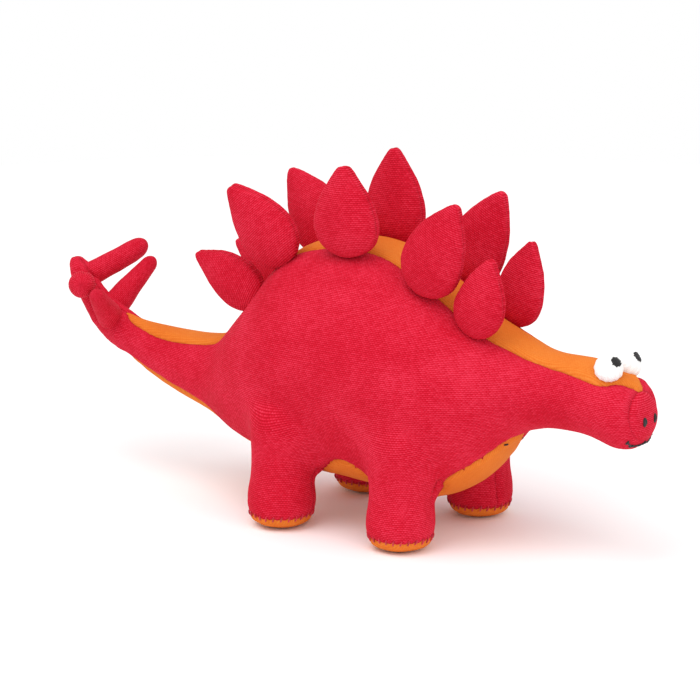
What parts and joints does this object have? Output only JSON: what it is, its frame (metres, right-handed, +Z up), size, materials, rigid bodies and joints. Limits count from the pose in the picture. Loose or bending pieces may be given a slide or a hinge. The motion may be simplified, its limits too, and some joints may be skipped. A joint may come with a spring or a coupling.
{
  "type": "stuffed dinosaur",
  "caption": "Soft stuffed dinosaur with rows of padded back plates, padded tail spikes, a bending neck and tail, and stubby legs with flat stitched soles.",
  "frame": {"origin": "on the ground, below the middle of the whole length and width", "axes": "+X towards the nose, +Y towards the animal's left side, +Z up"},
  "size_m": [0.3536, 0.1068, 0.184],
  "materials": {
    "red_cloth": "fine ribbed knit, matt, coral red",
    "orange_cloth": "fine plain knit, matt, orange",
    "plate_cloth": "fine ribbed knit, matt, red",
    "filling": "polyester fibre filling, white",
    "eye_cloth": "white padded stitching",
    "black_thread": "black embroidery thread"
  },
  "bodies": {
    "torso": {"back_gusset_torso": "orange_cloth", "belly_gusset_torso": "orange_cloth", "inner_leg_front_left": "red_cloth", "inner_leg_front_right": "red_cloth", "inner_leg_hind_left": "red_cloth", "inner_leg_hind_right": "red_cloth", "leg_stuffing_front_left": "filling", "leg_stuffing_front_right": "filling", "leg_stuffing_hind_left": "filling", "leg_stuffing_hind_right": "filling", "sole_front_left": "orange_cloth", "sole_front_right": "orange_cloth", "sole_hind_left": "orange_cloth", "sole_hind_right": "orange_cloth", "torso_side_left": "red_cloth", "torso_side_right": "red_cloth", "torso_stuffing": "filling"},
    "head": {"back_gusset_neck": "orange_cloth", "eye_left": "eye_cloth", "eye_right": "eye_cloth", "head_side_left": "red_cloth", "head_side_right": "red_cloth", "head_stuffing": "filling", "mouth_stitching": "black_thread", "muzzle_panel": "red_cloth", "nostril_left": "black_thread", "nostril_right": "black_thread", "pupil_left": "black_thread", "pupil_right": "black_thread"},
    "tail": {"back_gusset_tail": "orange_cloth", "belly_gusset_tail": "orange_cloth", "tail_side_left": "red_cloth", "tail_side_right": "red_cloth", "tail_stuffing": "filling"},
    "plate_haunch_left": {"plate_cover_haunch_left": "plate_cloth", "plate_stuffing_haunch_left": "filling"},
    "plate_haunch_right": {"plate_cover_haunch_right": "plate_cloth", "plate_stuffing_haunch_right": "filling"},
    "plate_middle_left": {"plate_cover_middle_left": "plate_cloth", "plate_stuffing_middle_left": "filling"},
    "plate_middle_right": {"plate_cover_middle_right": "plate_cloth", "plate_stuffing_middle_right": "filling"},
    "plate_neck_left": {"plate_cover_neck_left": "plate_cloth", "plate_stuffing_neck_left": "filling"},
    "plate_neck_right": {"plate_cover_neck_right": "plate_cloth", "plate_stuffing_neck_right": "filling"},
    "plate_rear_left": {"plate_cover_rear_left": "plate_cloth", "plate_stuffing_rear_left": "filling"},
    "plate_rear_right": {"plate_cover_rear_right": "plate_cloth", "plate_stuffing_rear_right": "filling"},
    "plate_shoulder_left": {"plate_cover_shoulder_left": "plate_cloth", "plate_stuffing_shoulder_left": "filling"},
    "plate_shoulder_right": {"plate_cover_shoulder_right": "plate_cloth", "plate_stuffing_shoulder_right": "filling"},
    "spike_inner_left": {"spike_inner_left": "plate_cloth"},
    "spike_inner_right": {"spike_inner_right": "plate_cloth"},
    "spike_outer_left": {"spike_outer_left": "plate_cloth"},
    "spike_outer_right": {"spike_outer_right": "plate_cloth"}
  },
  "joints": [
    {"name": "neck_nod", "type": "hinge", "parent": "torso", "child": "head", "pos_m": [0.11513, 0, 0.083], "axis": [0, 1, 0], "range_deg": [-15, 15], "stiffness_Nm_per_rad": 0.15},
    {"name": "tail_wag", "type": "hinge", "parent": "torso", "child": "tail", "pos_m": [-0.07888, 0, 0.0595], "axis": [0, 0, 1], "range_deg": [-20, 20], "stiffness_Nm_per_rad": 0.15},
    {"name": "plate_haunch_left_flop", "type": "hinge", "parent": "torso", "child": "plate_haunch_left", "pos_m": [-0.02488, 0.0195, 0.13288], "axis": [0.756, 0.1208, 0.6433], "range_deg": [-18, 18], "stiffness_Nm_per_rad": 0.02},
    {"name": "plate_haunch_right_flop", "type": "hinge", "parent": "torso", "child": "plate_haunch_right", "pos_m": [-0.02488, -0.0195, 0.13288], "axis": [0.756, -0.1208, 0.6433], "range_deg": [-18, 18], "stiffness_Nm_per_rad": 0.02},
    {"name": "plate_middle_left_flop", "type": "hinge", "parent": "torso", "child": "plate_middle_left", "pos_m": [0.01362, 0.021, 0.14093], "axis": [0.9994, 0.0008, 0.0348], "range_deg": [-18, 18], "stiffness_Nm_per_rad": 0.02},
    {"name": "plate_middle_right_flop", "type": "hinge", "parent": "torso", "child": "plate_middle_right", "pos_m": [0.01362, -0.021, 0.14093], "axis": [0.9994, -0.0008, 0.0348], "range_deg": [-18, 18], "stiffness_Nm_per_rad": 0.02},
    {"name": "plate_neck_left_flop", "type": "hinge", "parent": "torso", "child": "plate_neck_left", "pos_m": [0.08612, 0.018, 0.11094], "axis": [0.9663, 0, -0.2573], "range_deg": [-18, 18], "stiffness_Nm_per_rad": 0.02},
    {"name": "plate_neck_right_flop", "type": "hinge", "parent": "torso", "child": "plate_neck_right", "pos_m": [0.08612, -0.018, 0.11094], "axis": [0.9663, 0, -0.2573], "range_deg": [-18, 18], "stiffness_Nm_per_rad": 0.02},
    {"name": "plate_rear_left_flop", "type": "hinge", "parent": "torso", "child": "plate_rear_left", "pos_m": [-0.04788, 0.016, 0.10973], "axis": [0.4433, 0.0504, 0.895], "range_deg": [-18, 18], "stiffness_Nm_per_rad": 0.02},
    {"name": "plate_rear_right_flop", "type": "hinge", "parent": "torso", "child": "plate_rear_right", "pos_m": [-0.04788, -0.016, 0.10973], "axis": [0.4433, -0.0504, 0.895], "range_deg": [-18, 18], "stiffness_Nm_per_rad": 0.02},
    {"name": "plate_shoulder_left_flop", "type": "hinge", "parent": "torso", "child": "plate_shoulder_left", "pos_m": [0.05663, 0.02, 0.12793], "axis": [0.9067, -0.0096, -0.4216], "range_deg": [-18, 18], "stiffness_Nm_per_rad": 0.02},
    {"name": "plate_shoulder_right_flop", "type": "hinge", "parent": "torso", "child": "plate_shoulder_right", "pos_m": [0.05663, -0.02, 0.12793], "axis": [0.9067, 0.0096, -0.4216], "range_deg": [-18, 18], "stiffness_Nm_per_rad": 0.02},
    {"name": "spike_inner_left_swing", "type": "hinge", "parent": "tail", "child": "spike_inner_left", "pos_m": [-0.15388, 0.0094, 0.0856], "axis": [0.8462, 0.1343, -0.5156], "range_deg": [-15, 15], "stiffness_Nm_per_rad": 0.01},
    {"name": "spike_inner_right_swing", "type": "hinge", "parent": "tail", "child": "spike_inner_right", "pos_m": [-0.14628, -0.0088, 0.083], "axis": [0.8123, -0.1075, -0.5733], "range_deg": [-15, 15], "stiffness_Nm_per_rad": 0.01},
    {"name": "spike_outer_left_swing", "type": "hinge", "parent": "tail", "child": "spike_outer_left", "pos_m": [-0.16747, 0.0069, 0.0994], "axis": [0.7485, -0.0321, -0.6623], "range_deg": [-15, 15], "stiffness_Nm_per_rad": 0.01},
    {"name": "spike_outer_right_swing", "type": "hinge", "parent": "tail", "child": "spike_outer_right", "pos_m": [-0.16407, -0.007, 0.096], "axis": [0.6223, 0.229, -0.7485], "range_deg": [-15, 15], "stiffness_Nm_per_rad": 0.01}
  ]
}
